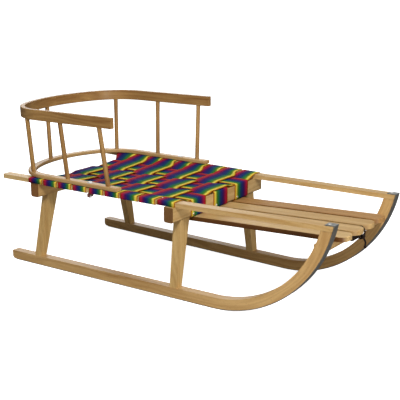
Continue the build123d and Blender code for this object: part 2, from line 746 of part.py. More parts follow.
pieces["tow_cord_tail"] = cord_tail
pieces["tow_cord_end_knot"] = cord_end_knot

# The sled's middle goes over the origin
rear_x = hoop_bend_x - top_hoop_reach
to_middle = Pos(-(strip_nose_x + rear_x) / 2, 0, 0)

os.makedirs("parts", exist_ok=True)
for name, body in pieces.items():
    export_step(to_middle * body, f"parts/{name}.step")
print("moved forward", round(-(strip_nose_x + rear_x) / 2, 2))
print("rail front", round(rail_front_x, 2), "hoop halves", round(low_hoop_half, 2), round(top_hoop_half, 2))
print("knot", round(knot_x, 2), round(knot_z, 2))
print(len(pieces), "pieces")
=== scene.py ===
"""A child's beech sled: woven seat, slatted footrest and bent-wood backrest, dressed and lit."""

import logging
from dataclasses import dataclass, field
from enum import Enum
from math import cos, pi, radians, sin

import bmesh
import bpy
from bpy.types import ID, Curve, Material, Mesh, Node, NodeSocket, NodeTree, Object
from mathutils import Matrix, Vector


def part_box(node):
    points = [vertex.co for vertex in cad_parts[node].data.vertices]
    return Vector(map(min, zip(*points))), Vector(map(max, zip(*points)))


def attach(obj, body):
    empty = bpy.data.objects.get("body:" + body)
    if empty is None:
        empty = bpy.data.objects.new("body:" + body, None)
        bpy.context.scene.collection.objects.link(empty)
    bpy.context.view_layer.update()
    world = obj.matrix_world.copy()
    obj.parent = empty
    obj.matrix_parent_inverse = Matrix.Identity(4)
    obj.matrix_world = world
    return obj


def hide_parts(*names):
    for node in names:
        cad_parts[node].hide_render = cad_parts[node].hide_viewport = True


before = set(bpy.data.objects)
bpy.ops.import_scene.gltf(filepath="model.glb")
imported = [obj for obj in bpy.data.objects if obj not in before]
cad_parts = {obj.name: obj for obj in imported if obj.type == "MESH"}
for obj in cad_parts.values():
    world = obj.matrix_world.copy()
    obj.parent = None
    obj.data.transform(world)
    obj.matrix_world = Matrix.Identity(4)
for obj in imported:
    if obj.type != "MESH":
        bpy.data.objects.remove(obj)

LOG = logging.getLogger("sled")
Pair = tuple[float, float]
Triple = tuple[float, float, float]
MM = 0.001
ROOT = "root"
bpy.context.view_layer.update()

# Where the grain turns with a bent piece, in metres
HOOP_BEND_X = -0.320
HOOP_BACK_STRETCH = 1.5
HOOP_TURN_RADIUS = 0.19
RUNNER_BEND_X = 0.170
RUNNER_BEND_Z = 0.291
RUNNER_TURN_RADIUS = 0.278

# How finely the marks of the wood lie, to a metre: along the grain, and twice across it
BANDS = (2.4, 26.0, 26.0)
WAVES = (3.0, 30.0, 30.0)
FIBRES = (16.0, 480.0, 480.0)
FLECKS = (150.0, 1200.0, 1200.0)
PORES = (900.0, 900.0, 900.0)
RINGS_ACROSS = 560.0
RINGS_THROUGH = 380.0
RINGS_WANDER = 34.0


class Grain(Enum):
    """The way that a piece's grain runs."""

    ALONG_X = "along_x"
    ALONG_Y = "along_y"
    UPRIGHT = "upright"
    ROUND_HOOP = "round_hoop"
    ROUND_BEND = "round_bend"


class Weave(Enum):
    """Whether a strap lies over or under the middle lengthwise strap."""

    OVER_MIDDLE = 1
    UNDER_MIDDLE = -1


# Shader building


class Wire:
    """A socket that takes part in sums."""

    def __init__(self, shader: "Shader", socket: NodeSocket) -> None:
        """Keeps the shader and the socket."""
        self.shader = shader
        self.socket = socket

    def _math(self, operation: str, *values: object) -> "Wire":
        """Adds a Math node on this wire."""
        return self.shader.node("ShaderNodeMath", {"operation": operation}, *values)

    def __add__(self, other: object) -> "Wire":
        """Sum."""
        return self._math("ADD", self, other)

    __radd__ = __add__

    def __mul__(self, other: object) -> "Wire":
        """Product."""
        return self._math("MULTIPLY", self, other)

    __rmul__ = __mul__

    def __sub__(self, other: object) -> "Wire":
        """Difference."""
        return self._math("SUBTRACT", self, other)

    def __rsub__(self, other: object) -> "Wire":
        """Difference from a number."""
        return self._math("SUBTRACT", other, self)

    def __pow__(self, other: object) -> "Wire":
        """Power."""
        return self._math("POWER", self, other)

    def sine(self) -> "Wire":
        """Sine of the wire."""
        return self._math("SINE", self)

    def angle(self, along: object) -> "Wire":
        """The angle whose tangent is this wire over the other."""
        return self._math("ARCTAN2", self, along)

    def size(self) -> "Wire":
        """The wire without its sign."""
        return self._math("ABSOLUTE", self)

    def least(self, other: object) -> "Wire":
        """The smaller of the two."""
        return self._math("MINIMUM", self, other)

    def most(self, other: object) -> "Wire":
        """The larger of the two."""
        return self._math("MAXIMUM", self, other)

    def above(self, other: object) -> "Wire":
        """1 where the wire is above the other, else 0."""
        return self._math("GREATER_THAN", self, other)

    def between(self, low: float, high: float) -> "Wire":
        """0 at low, 1 at high, and even between, kept from 0 to 1."""
        return self.shader.node("ShaderNodeMapRange", {"clamp": True}, self, low, high, 0.0, 1.0)


class Shader:
    """One material's node tree."""

    def __init__(self, name: str) -> None:
        """Makes an empty material.

        Args:
            name: The material's name.
        """
        self.material = bpy.data.materials.new(name)
        self.material.use_nodes = True
        self.tree = self.material.node_tree
        self.tree.nodes.clear()
        self.output = self.tree.nodes.new("ShaderNodeOutputMaterial")

    def feed(self, socket: NodeSocket, value: object) -> None:
        """Links a wire to a socket, or sets the socket's value.

        Args:
            socket: The socket to feed.
            value: A wire, a plain value, or None to leave the socket as it is.
        """
        if isinstance(value, Wire):
            self.tree.links.new(value.socket, socket)
        elif value is not None:
            socket.default_value = value

    def node(
        self, kind: str, settings: dict | None = None, *values: object, out: int | str = 0, **named: object
    ) -> Wire:
        """Adds one node.

        Args:
            kind: The node's type.
            settings: Settings, set before any value; "stops" fills a ramp.
            values: Values or wires of the first sockets, in order.
            out: The output that is returned.
            named: Values or wires of sockets, by name with _ for a space.

        Returns:
            The chosen output as a wire.
        """
        made = self.tree.nodes.new(kind)
        for key, value in (settings or {}).items():
            if key == "stops":
                ramp = made.color_ramp
                while len(ramp.elements) > 1:
                    ramp.elements.remove(ramp.elements[0])
                for i, (place, colour) in enumerate(value):
                    stop = ramp.elements[0] if i == 0 else ramp.elements.new(place)
                    stop.position = place
                    stop.color = (*colour, 1.0)
            else:
                setattr(made, key, value)
        for socket, value in zip(made.inputs, values):
            self.feed(socket, value)
        for key, value in named.items():
            self.feed(made.inputs[key.replace("_", " ")], value)
        return Wire(self, made.outputs[out])

    def blend(self, share: object, low: object, high: object) -> Wire:
        """Mixes two colours.

        Args:
            share: How much of the second colour shows.
            low: The first colour.
            high: The second colour.

        Returns:
            The mixed colour.
        """
        made = self.tree.nodes.new("ShaderNodeMix")
        made.data_type = "RGBA"
        share_in, low_in, high_in = made.inputs[0], made.inputs[6], made.inputs[7]
        self.feed(share_in, share)
        self.feed(low_in, (*low, 1.0) if isinstance(low, tuple) else low)
        self.feed(high_in, (*high, 1.0) if isinstance(high, tuple) else high)
        return Wire(self, made.outputs[2])

    def place(self, scale: Triple, shift: Triple = (0, 0, 0)) -> Wire:
        """Reads the place on the piece.

        Args:
            scale: The scale for each axis.
            shift: What is added before the scale, in metres.

        Returns:
            Object coordinates, shifted and then scaled.
        """
        coords = self.node("ShaderNodeTexCoord", None, out="Object")
        moved = self.node("ShaderNodeVectorMath", {"operation": "ADD"}, coords, shift)
        return self.scaled(moved, scale)

    def scaled(self, vector: Wire, scale: Triple) -> Wire:
        """A vector times a scale for each axis."""
        return self.node("ShaderNodeVectorMath", {"operation": "MULTIPLY"}, vector, scale)

    def joined(self, x: object, y: object, z: object) -> Wire:
        """A vector of three parts."""
        return self.node("ShaderNodeCombineXYZ", None, x, y, z)

    def split(self, vector: Wire) -> tuple[Wire, Wire, Wire]:
        """The three parts of a vector."""
        outputs = self.node("ShaderNodeSeparateXYZ", None, vector).socket.node.outputs
        return Wire(self, outputs[0]), Wire(self, outputs[1]), Wire(self, outputs[2])

    def noise(self, vector: Wire, scale: float, detail: float = 2.0, rough: float = 0.5) -> Wire:
        """A noise from 0 to 1."""
        values = {"Vector": vector, "Scale": scale, "Detail": detail, "Roughness": rough}
        return self.node("ShaderNodeTexNoise", None, out="Fac", **values)

    def bump(self, height: Wire, strength: float, depth: float) -> Wire:
        """A Bump node on a height."""
        values = {"Strength": strength, "Distance": depth, "Height": height}
        return self.node("ShaderNodeBump", None, out="Normal", **values)

    def finish(self, **named: object) -> Material:
        """Ends the material in one Principled shader.

        Args:
            named: Its sockets' values or wires, by name with _ for a space.

        Returns:
            The finished material.
        """
        end = self.node("ShaderNodeBsdfPrincipled", None, **named)
        self.tree.links.new(end.socket, self.output.inputs["Surface"])
        return self.material


# Finishes


@dataclass(frozen=True)
class Beech:
    """Lacquered beech: fine grain, short dark flecks, darker end grain and a thin clear coat, with painted
    shade darkening the faces that look across the sled where asked.
    """

    name: str
    grain: Grain
    light: Triple = (0.610, 0.390, 0.160)
    dark: Triple = (0.345, 0.180, 0.055)
    shift: Triple = (0.0, 0.0, 0.0)
    ends: Pair = (-9.0, 9.0)
    # Colour of the end grain, also used for the painted shade on faces that look across the sled.
    end_grain_and_shade: Triple = (0.170, 0.062, 0.014)
    # How strongly painted shade darkens the faces that look across the sled, from 0 to 1.
    painted_edge_shade: float = 0.0
    roughness: float = 0.46
    coat: float = 0.05

    def coordinates(self, shader: Shader, shift: Triple) -> Wire:
        """Object coordinates turned so that x runs along the grain.

        Args:
            shader: The shader that takes the nodes.
            shift: How far the pattern is moved, in metres.

        Returns:
            The turned coordinates in metres.
        """
        x, y, z = shader.split(shader.place((1.0, 1.0, 1.0), shift))
        if self.grain is Grain.ALONG_Y:
            return shader.joined(y, x, z)
        if self.grain is Grain.UPRIGHT:
            return shader.joined(z, y, x)
        if self.grain is Grain.ROUND_HOOP:
            past = x - HOOP_BEND_X
            behind = past.least(0.0) * HOOP_BACK_STRETCH
            across = (behind * behind + y * y) ** 0.5
            turn = y.angle(behind - MM) * HOOP_TURN_RADIUS
            return shader.joined(past.most(0.0) + turn, across, z)
        if self.grain is Grain.ROUND_BEND:
            ahead, below = (x - shift[0] - RUNNER_BEND_X).most(0.0), RUNNER_BEND_Z + shift[2] - z
            turn = ahead.angle(below) * RUNNER_TURN_RADIUS
            depth = (ahead * ahead + below * below) ** 0.5
            return shader.joined(x.least(RUNNER_BEND_X + shift[0]) + turn, y, depth)
        return shader.joined(x, y, z)

    def build(self) -> Material:
        """Builds the material.

        Returns:
            The finished material.
        """
        s = Shader(self.name)
        turned = self.coordinates(s, self.shift)
        bands = s.noise(s.scaled(turned, BANDS), 1.0, 3.0, 0.55).between(0.30, 0.70)
        waves = s.noise(s.scaled(turned, WAVES), 1.0, 2.0)
        _, across, through = s.split(turned)
        rings = ((across * RINGS_ACROSS + through * RINGS_THROUGH + waves * RINGS_WANDER).sine() + 1.0) * 0.5
        fibre = s.noise(s.scaled(turned, FIBRES), 1.0, 3.0, 0.6)
        fleck = s.noise(s.scaled(turned, FLECKS), 1.0, 1.0).between(0.60, 0.74)
        depth = bands * 0.50 + rings * 0.24 + fibre.between(0.25, 0.8) * 0.26
        colour = s.blend(depth.between(0.12, 0.90), self.light, self.dark)
        colour = s.blend(fleck * 0.38, colour, tuple(c * 0.5 for c in self.dark))
        along, _, _ = s.split(self.coordinates(s, (0.0, 0.0, 0.0)))
        end = along.above(self.ends[1]) + (along * -1.0).above(-self.ends[0])
        pores = s.noise(s.scaled(turned, PORES), 1.0, 2.0)
        colour = s.blend(end * (pores * 0.25 + 0.75), colour, self.end_grain_and_shade)
        # Painted shade: faces that look across the sled are darkened towards the end-grain colour. This
        # stands in for the shade under the rails and on the slats' rounded edges.
        if self.painted_edge_shade > 0:
            _, facing, _ = s.split(s.node("ShaderNodeNewGeometry", None, out="Normal"))
            colour = s.blend(facing.size().between(0.25, 0.85) * self.painted_edge_shade, colour, self.end_grain_and_shade)
        rough = fibre * 0.12 + (self.roughness - 0.06) + end * 0.2
        normal = s.bump(fibre * 0.7 - fleck * 0.6, 0.22, 0.00025)
        return s.finish(
            Base_Color=colour,
            Roughness=rough,
            Normal=normal,
            Coat_Weight=self.coat,
            Coat_Roughness=0.25,
            Specular_IOR_Level=0.25,
        )


@dataclass(frozen=True)
class Steel:
    """Rolled or plated steel, with fine scratches and stains."""

    name: str
    colour: Triple = (0.36, 0.37, 0.36)
    stain: Triple = (0.11, 0.11, 0.095)
    roughness: float = 0.34
    metallic: float = 1.0
    scratches: Triple = (25.0, 900.0, 200.0)
    patches: Triple = (30.0, 30.0, 30.0)

    def build(self) -> Material:
        """Builds the material.

        Returns:
            The finished material.
        """
        s = Shader(self.name)
        scratch = s.noise(s.place(self.scratches), 1.0, 3.0, 0.7)
        patch = s.noise(s.place(self.patches), 1.0, 4.0, 0.6).between(0.45, 0.75)
        bare = tuple(min(1.0, 2.0 * c) for c in self.colour)
        colour = s.blend(patch * 0.7, self.colour, self.stain)
        colour = s.blend(scratch.between(0.62, 0.8) * 0.35, colour, bare)
        return s.finish(
            Base_Color=colour,
            Metallic=self.metallic,
            Roughness=patch * 0.18 + scratch * 0.10 + (self.roughness - 0.05),
            Normal=s.bump(scratch, 0.12, 0.0001),
        )


@dataclass(frozen=True)
class Webbing:
    """Woven polyester webbing in rainbow stripes that run along it."""

    name: str
    across: float
    thread_pitch: float = 0.0011
    wander: Triple = (900.0, 120.0, 1.0)
    dust: Triple = (160.0, 60.0, 1.0)
    shadow: Triple = (0.01, 0.008, 0.01)
    dust_colour: Triple = (0.70, 0.62, 0.50)
    stripes: tuple[tuple[float, Triple], ...] = (
        (0.00, (0.60, 0.14, 0.02)),
        (0.06, (0.52, 0.02, 0.02)),
        (0.16, (0.36, 0.01, 0.05)),
        (0.25, (0.14, 0.006, 0.07)),
        (0.34, (0.04, 0.008, 0.11)),
        (0.45, (0.012, 0.022, 0.15)),
        (0.56, (0.006, 0.05, 0.12)),
        (0.66, (0.012, 0.14, 0.06)),
        (0.75, (0.05, 0.19, 0.02)),
        (0.81, (0.20, 0.27, 0.02)),
        (0.86, (0.72, 0.66, 0.10)),
        (0.93, (0.85, 0.60, 0.06)),
        (0.98, (0.45, 0.15, 0.01)),
    )

    def build(self) -> Material:
        """Builds the material on the strap's own UV map, where U is across it and V is metres along it.

        Returns:
            The finished material.
        """
        s = Shader(self.name)
        u, v, _ = s.split(s.node("ShaderNodeUVMap", {"uv_map": "strap"}))
        metres = s.joined(u * self.across, v, 0.0)
        wander = s.noise(s.scaled(metres, self.wander), 1.0)
        ramp = s.node("ShaderNodeValToRGB", {"stops": self.stripes}, u + (wander - 0.5) * 0.018)
        ramp.socket.node.color_ramp.interpolation = "EASE"
        warp = (u * (self.across / self.thread_pitch * 2 * pi)).sine()
        weft = (v * (2 * pi / (self.thread_pitch * 1.5)) + warp.above(0.0) * pi).sine()
        height = warp * 0.5 + weft * 0.5
        dust = s.noise(s.scaled(metres, self.dust), 1.0, 4.0, 0.6)
        colour = s.blend((1 - height.between(-0.9, 0.3)) * 0.45, ramp, self.shadow)
        colour = s.blend(dust.between(0.5, 0.8) * 0.02, colour, self.dust_colour)
        return s.finish(
            Base_Color=colour,
            Roughness=dust * 0.2 + 0.60,
            Normal=s.bump(height, 0.5, 0.0004),
            Specular_IOR_Level=0.03,
        )


@dataclass(frozen=True)
class Braid:
    """Dark braided cord, with painted shade in the grooves between the strands and a lighter colour painted
    on their crowns.
    """

    name: str
    colour: Triple = (0.012, 0.006, 0.004)
    # Lighter colour painted on the strand crowns, where light falls.
    lift: Triple = (0.045, 0.026, 0.016)
    strands: float = 4200.0
    fuzz: float = 2600.0

    def build(self) -> Material:
        """Builds the material.

        Returns:
            The finished material.
        """
        s = Shader(self.name)
        here = s.place((1.0, 1.0, 1.0))
        x, y, z = s.split(here)
        height = ((x + y + z) * self.strands).sine().most(((x - y + z) * self.strands).sine())
        fuzz = s.noise(here, self.fuzz, 3.0)
        # Painted shade: darker in the grooves between strands, lighter towards the crown colour on their
        # tops.
        colour = s.blend(height.between(0.0, 1.0) * fuzz, self.colour, self.lift)
        return s.finish(
            Base_Color=colour,
            Roughness=fuzz * 0.1 + 0.82,
            Normal=s.bump(height + fuzz * 0.6, 0.5, 0.0004),
            Specular_IOR_Level=0.2,
        )


# Mesh helpers


def link(name: str, data: ID, material: Material | None = None) -> Object:
    """Puts a mesh or a curve into the scene.

    Args:
        name: The piece's name.
        data: Its mesh or curve, in place.
        material: Its only material, if it has none yet.

    Returns:
        The new object.
    """
    piece = bpy.data.objects.new(name, data)
    bpy.context.scene.collection.objects.link(piece)
    if material is not None:
        data.materials.clear()
        data.materials.append(material)
    return piece


def settle(piece: Object, slot: str, *nodes: str) -> None:
    """Fixes a piece to the sled.

    Args:
        piece: The finished piece.
        slot: The record's material slot; it is not used.
        nodes: The solids that it stands for.
    """
    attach(piece, ROOT)
    if nodes:
        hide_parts(*nodes)
    LOG.info("%s: %d faces", piece.name, len(getattr(piece.data, "polygons", [])))


def smooth_step(low: float, high: float, value: float) -> float:
    """0 below low, 1 above high, and smooth between."""
    share = min(1.0, max(0.0, (value - low) / (high - low)))
    return share * share * (3 - 2 * share)


def arc(centre: Pair, radius: float, start: float, end: float, steps: int) -> list[Pair]:
    """Points round part of a circle.

    Args:
        centre: The circle's centre.
        radius: Its radius.
        start: The first point's angle in radians.
        end: The last point's angle.
        steps: How many steps lie between them.

    Returns:
        The points in order.
    """
    turns = [start + (end - start) * i / steps for i in range(steps + 1)]
    return [(centre[0] + radius * cos(turn), centre[1] + radius * sin(turn)) for turn in turns]


class Growth:
    """A geometry node tree that takes named sizes and a finish."""

    def __init__(self, name: str, *sizes: str) -> None:
        """Makes the tree with its inputs and output.

        Args:
            name: The tree's name.
            sizes: The names of its sizes.
        """
        self.tree = bpy.data.node_groups.new(name, "GeometryNodeTree")
        face = self.tree.interface
        face.new_socket("Geometry", in_out="INPUT", socket_type="NodeSocketGeometry")
        for size in sizes:
            face.new_socket(size, in_out="INPUT", socket_type="NodeSocketFloat")
        face.new_socket("Finish", in_out="INPUT", socket_type="NodeSocketMaterial")
        face.new_socket("Geometry", in_out="OUTPUT", socket_type="NodeSocketGeometry")
        self.given = self.tree.nodes.new("NodeGroupInput").outputs

    def node(self, kind: str, *values: object, **named: object) -> Node:
        """Adds one node.

        Args:
            kind: The node's type.
            values: Values or links of the first sockets, in order.
            named: Values or links of sockets, by name with _ for a space.

        Returns:
            The new node.
        """
        made = self.tree.nodes.new(kind)
        chosen = list(zip(made.inputs, values))
        chosen += [(made.inputs[key.replace("_", " ")], value) for key, value in named.items()]
        for socket, value in chosen:
            if isinstance(value, NodeSocket):
                self.tree.links.new(value, socket)
            else:
                socket.default_value = value
        return made

    def finish(self, shape: NodeSocket) -> NodeTree:
        """Ends the tree in real faces of the given finish.

        Args:
            shape: The socket that gives the shape.

        Returns:
            The whole tree.
        """
        real = self.node("GeometryNodeRealizeInstances", Geometry=shape)
        paint = self.node("GeometryNodeSetMaterial", Geometry=real.outputs[0], Material=self.given["Finish"])
        self.node("NodeGroupOutput", paint.outputs[0])
        return self.tree

    @staticmethod
    def grow(tree: NodeTree, sizes: dict[str, object], name: str, spots: tuple[Triple, ...] = ()) -> Mesh:
        """Runs a tree with its named inputs and keeps the result as a plain mesh.

        Args:
            tree: The geometry node tree.
            sizes: Its inputs by name.
            name: The mesh's name.
            spots: Points that the tree starts from, in metres.

        Returns:
            The plain mesh.
        """
        seed = bpy.data.meshes.new(f"{name}_spots")
        seed.from_pydata(list(spots), [], [])
        carrier = link(f"{name}_carrier", seed)
        modifier = carrier.modifiers.new("grow", "NODES")
        modifier.node_group = tree
        for item in tree.interface.items_tree:
            if item.in_out == "INPUT" and item.name in sizes:
                modifier[item.identifier] = sizes[item.name]
        bpy.context.view_layer.update()
        graph = bpy.context.evaluated_depsgraph_get()
        mesh = bpy.data.meshes.new_from_object(carrier.evaluated_get(graph))
        mesh.name = name
        bpy.data.objects.remove(carrier)
        return mesh


# The seat


@dataclass
class SeatShape:
    """The frame that the seat is woven on, and the surface that the weave follows, in millimetres."""

    forward: float = 4.48
    rear_face: float = -358.5
    front_face: float = 72.0
    free_rear: float = -333.5
    free_front: float = 47.0
    bar_depth: float = 35.0
    rear_level: float = 12.0
    front_level: float = 25.0
    rail_kink_x: float = 90.0
    rail_low_kink: float = 216.4
    rail_slope: float = 3.4 / 541.5
    rail_thickness: float = 10.5
    rail_width: float = 25.0
    rail_half_middle: float = 181.7
    rail_toe: float = 0.0383
    thickness: float = 1.5
    gap: float = 0.2
    step: float = 2.1
    relief: float = 3.4
    sag: float = 2.0
    strap_pitch: float = 91.0
    strap_width: float = 58.0
    dish_depth: float = 8.5
    dish_half: float = 150.0

    def rail_low(self, x: float) -> float:
        """Height of the rails' underside at x."""
        return self.rail_low_kink + self.rail_slope * (x - self.rail_kink_x)

    def rail_half(self, x: float) -> float:
        """Half the width over the rails at x."""
        return self.rail_half_middle - self.rail_toe * x

    def share(self, x: float) -> float:
        """How far x is along the free run between the bars, from 0 to 1."""
        return min(1.0, max(0.0, (x - self.free_rear) / (self.free_front - self.free_rear)))

    def surface(self, x: float, y: float) -> float:
        """Height of the lengthwise straps' middle at a place.

        Args:
            x: Place along the sled.
            y: Place across it.

        Returns:
            The height.
        """
        share = self.share(x)
        bars = self.thickness + self.step + self.gap
        rear = self.rail_low(self.rear_face + self.rear_level) + bars
        front = self.rail_low(self.front_face - self.front_level) + bars
        dish = self.dish_depth * max(0.0, 1 - (y / self.dish_half) ** 2)
        return rear + share * (front - rear) - 4 * self.sag * share * (1 - share) - (1 - share) * dish


@dataclass
class Seat:
    """The woven seat: nine straps across and three along."""

    shape: SeatShape = field(default_factory=SeatShape)
    cross_shares: tuple[Pair, ...] = (
        (0.001, 0.094),
        (0.102, 0.201),
        (0.2125, 0.3055),
        (0.3195, 0.4125),
        (0.4355, 0.531),
        (0.5435, 0.639),
        (0.649, 0.762),
        (0.7725, 0.8745),
        (0.8895, 0.9995),
    )
    middle_gap: float = -14.0
    flap: float = 13.0
    rail_flaps: Pair = (4.0, 26.0)
    turn_reach: float = 26.0
    flap_reach: float = 1.4
    tuck: float = 15.0
    clearance: float = 1.0
    run_out: float = 16.0
    over_lift: float = 0.8
    flap_drop: float = 1.1
    flap_start: float = 0.6
    columns: int = 10
    rail_start: float = 0.2
    rail_crown: float = 0.1
    bar_space: float = 0.2
    flat_points: int = 37
    flat_step: float = 3.5
    rise_steps: int = 6
    rise_ease: float = 0.35
    rail_edge: float = 0.45
    corner_steps: int = 4
    bar_corner: float = 4.0
    bar_corner_steps: int = 3
    bar_rim: float = 2.0
    bar_drop: float = 8.0
    long_steps: int = 88

    def edges(self) -> list[tuple[float, float, float, float]]:
        """Places the cross straps along the sled.

        Returns:
            Rear and front edge of each cross strap at the rails, and then in the middle.
        """
        run = self.shape.front_face - self.shape.rear_face
        rails = [[self.shape.rear_face + share * run for share in pair] for pair in self.cross_shares]
        meetings = [(a[1] + b[0]) / 2 for a, b in zip(rails, rails[1:])]
        rears = [rails[0][0] - self.flap] + [x + self.middle_gap / 2 for x in meetings]
        fronts = [x - self.middle_gap / 2 for x in meetings] + [rails[-1][1]]
        return [(*pair, rear, front) for pair, rear, front in zip(rails, rears, fronts)]

    def folded(self, place: Triple, over: float) -> Triple:
        """Turns what lies behind the rear crossbar down its rear face.

        Args:
            place: A point of a strap laid flat.
            over: Which side of the lengthwise straps the strap is on there.

        Returns:
            The point on the folded strap.
        """
        x, y, z = place
        face = self.shape.rear_face - self.over_lift * max(over, 0.0)
        behind = face - x
        if behind <= 0:
            return place
        return (face - min(behind, self.flap_drop), y, z - max(behind - self.flap_start, 0.0))

    def over(self, y: float, weave: Weave) -> float:
        """Tells which side of the lengthwise straps a cross strap is on.

        Args:
            y: Place across the sled.
            weave: How the strap crosses the middle strap.

        Returns:
            1 where it is over them, -1 where it is under them, and less at the turns.
        """
        half = self.shape.strap_width / 2
        inner, outer = half + self.clearance, self.shape.strap_pitch - half - self.clearance
        end = self.shape.strap_pitch + half
        middle = 1 - 2 * smooth_step(inner, outer, abs(y))
        rim = smooth_step(end, end + self.run_out, abs(y))
        return weave.value * middle * (1 - rim)

    def cross_section(self, x: float, weave: Weave, bar: bool) -> list[Pair]:
        """Half of a cross strap's middle line at x, from the sled's middle round the left rail.

        Args:
            x: Place along the sled.
            weave: How the strap crosses the middle strap.
            bar: Whether a crossbar is in the way below the rail.

        Returns:
            (y, z) points.
        """
        s = self.shape
        lift = s.gap + s.thickness / 2
        outer = s.rail_half(x)
        inner = outer - s.rail_width
        low = s.rail_low(x)
        top = low + s.rail_thickness
        line: list[Pair] = []
        for i in range(self.flat_points):
            y = self.flat_step * i
            side = self.over(y, weave)
            line.append((y, s.surface(x, y) + (s.relief if side > 0 else s.step) * side))
        last_y, last_z = line[-1]
        for i in range(1, self.rise_steps):
            share = i / self.rise_steps
            rise = smooth_step(0.0, 1.0, share) * self.rise_ease + share * (1 - self.rise_ease)
            line.append((last_y + (inner - lift - last_y) * share, last_z + (top + lift - last_z) * rise))
        line.append((inner - self.rail_start, top + lift))
        line.append(((inner + outer) / 2, top + lift + self.rail_crown))
        middle, radius = outer - self.rail_edge, lift + self.rail_edge
        line += arc((middle, top - self.rail_edge), radius, pi / 2, 0.0, self.corner_steps)
        if bar:
            line.append((outer + lift, low + s.gap + self.bar_space))
            return line
        line += arc((middle, low + self.rail_edge), radius, 0.0, -pi / 2, self.corner_steps)
        line.append((outer - self.tuck, low - lift))
        return line

    def half_line(
        self, outside: float, inside: float, weave: Weave, bar: bool, reach: float
    ) -> list[Triple]:
        """Runs one line of a cross strap from the sled's middle round a rail.

        Args:
            outside: The line's place along the sled at the rail.
            inside: The same in the middle.
            weave: How the strap crosses the middle strap.
            bar: Whether a crossbar is in the way below the rail.
            reach: How far from the rail the line turns towards its place there.

        Returns:
            (x, y, z) points of the left half.
        """
        inner_rail = self.shape.rail_half(outside) - self.shape.rail_width
        line = []
        sections = zip(self.cross_section(outside, weave, bar), self.cross_section(inside, weave, bar))
        for (y, z), (_, inner_z) in sections:
            share = smooth_step(inner_rail - reach, inner_rail - self.clearance, y)
            place = (inside + (outside - inside) * share, y, inner_z + (z - inner_z) * share)
            bent = self.folded(place, self.over(y, weave))
            line.append(tuple(b + (p - b) * share for p, b in zip(place, bent)))
        return line

    def cross_strap(self, number: int, edges: tuple[float, float, float, float]) -> list[list[Triple]]:
        """Lays one strap across.

        Args:
            number: Its place from the rear, from 1.
            edges: Its rear and front edge at the rails, and then in the middle.

        Returns:
            Lines of points along the strap, from its rear edge to its front edge.
        """
        weave = Weave.OVER_MIDDLE if number % 2 else Weave.UNDER_MIDDLE
        bar = number in (1, len(self.cross_shares))
        flaps = self.rail_flaps if number == 1 else (0.0, 0.0)
        rear, front, middle_rear, middle_front = edges
        rows = []
        for j in range(self.columns + 1):
            across = j / self.columns
            inside = middle_rear + (middle_front - middle_rear) * across
            right, left = (
                self.half_line(
                    rear - flap + (front - rear + flap) * across,
                    inside,
                    weave,
                    bar,
                    self.turn_reach + self.flap_reach * flap,
                )
                for flap in flaps
            )
            rows.append([(x, -y, z) for x, y, z in right[:0:-1]] + left)
        return rows

    def long_strap(self, side: int) -> list[list[Triple]]:
        """Lays one lengthwise strap round both crossbars.

        Args:
            side: -1, 0 or 1 from the right to the left.

        Returns:
            Lines of points along the strap, from its left edge to its right edge.
        """
        s = self.shape
        lift = s.gap + s.thickness / 2
        rim, corner = self.bar_rim + lift, self.bar_corner + lift
        rear_low = s.rail_low(s.rear_face) - s.bar_depth
        front_low = s.rail_low(s.front_face - s.front_level) - s.bar_depth
        rear_corner = (s.rear_face + self.bar_corner, rear_low + self.bar_corner)
        front_corner = (s.front_face - self.bar_corner, front_low + self.bar_corner)
        rows = []
        for j in range(self.columns + 1):
            y = side * s.strap_pitch + s.strap_width * (0.5 - j / self.columns)
            rear_top, front_top = s.surface(s.rear_face, y), s.surface(s.front_face, y)
            line = [(s.rear_face + self.tuck, rear_low - lift)]
            line += arc(rear_corner, corner, -pi / 2, -pi, self.bar_corner_steps)
            line.append((s.rear_face - lift, rear_top - self.bar_drop))
            line += arc((s.rear_face + self.bar_rim, rear_top - rim), rim, pi, pi / 2, self.corner_steps)
            for i in range(2, self.long_steps - 1):
                x = s.rear_face + (s.front_face - s.rear_face) * i / self.long_steps
                line.append((x, s.surface(x, y)))
            line += arc((s.front_face - self.bar_rim, front_top - rim), rim, pi / 2, 0.0, self.corner_steps)
            line.append((s.front_face + lift, front_top - self.bar_drop))
            line += arc(front_corner, corner, 0.0, -pi / 2, self.bar_corner_steps)
            line.append((s.front_face - self.tuck, front_low - lift))
            rows.append([(x, y, z) for x, z in line])
        return rows

    def ribbon(self, name: str, rows: list[list[Triple]], finish: Material) -> tuple[Object, Pair]:
        """Skins rows of points into a cloth strap with a thickness and a UV map.

        Args:
            name: The strap's name.
            rows: Lines of (x, y, z) points along the strap, from one edge to the other.
            finish: The strap's material.

        Returns:
            The strap with its Solidify modifier on it, and its flat width and length in metres.
        """
        mesh = bpy.data.meshes.new(name)
        build = bmesh.new()
        uv = build.loops.layers.uv.new("strap")
        forward = Vector((self.shape.forward, 0, 0))
        grid = [[build.verts.new((Vector(p) + forward) * MM) for p in row] for row in rows]
        middle = rows[len(rows) // 2]
        along = [0.0]
        for a, b in zip(middle, middle[1:]):
            along.append(along[-1] + (Vector(b) - Vector(a)).length * MM)
        last = len(rows) - 1
        for j in range(last):
            for i in range(len(middle) - 1):
                places = ((j, i), (j + 1, i), (j + 1, i + 1), (j, i + 1))
                face = build.faces.new([grid[row][step] for row, step in places])
                face.smooth = True
                for loop, (row, step) in zip(face.loops, places):
                    loop[uv].uv = (row / last, along[step])
        build.to_mesh(mesh)
        build.free()
        piece = link(name, mesh, finish)
        thick = piece.modifiers.new("thickness", "SOLIDIFY")
        thick.thickness = self.shape.thickness * MM
        thick.offset = 0.0
        thick.use_even_offset = False
        return piece, (self.shape.strap_width * MM, along[-1])

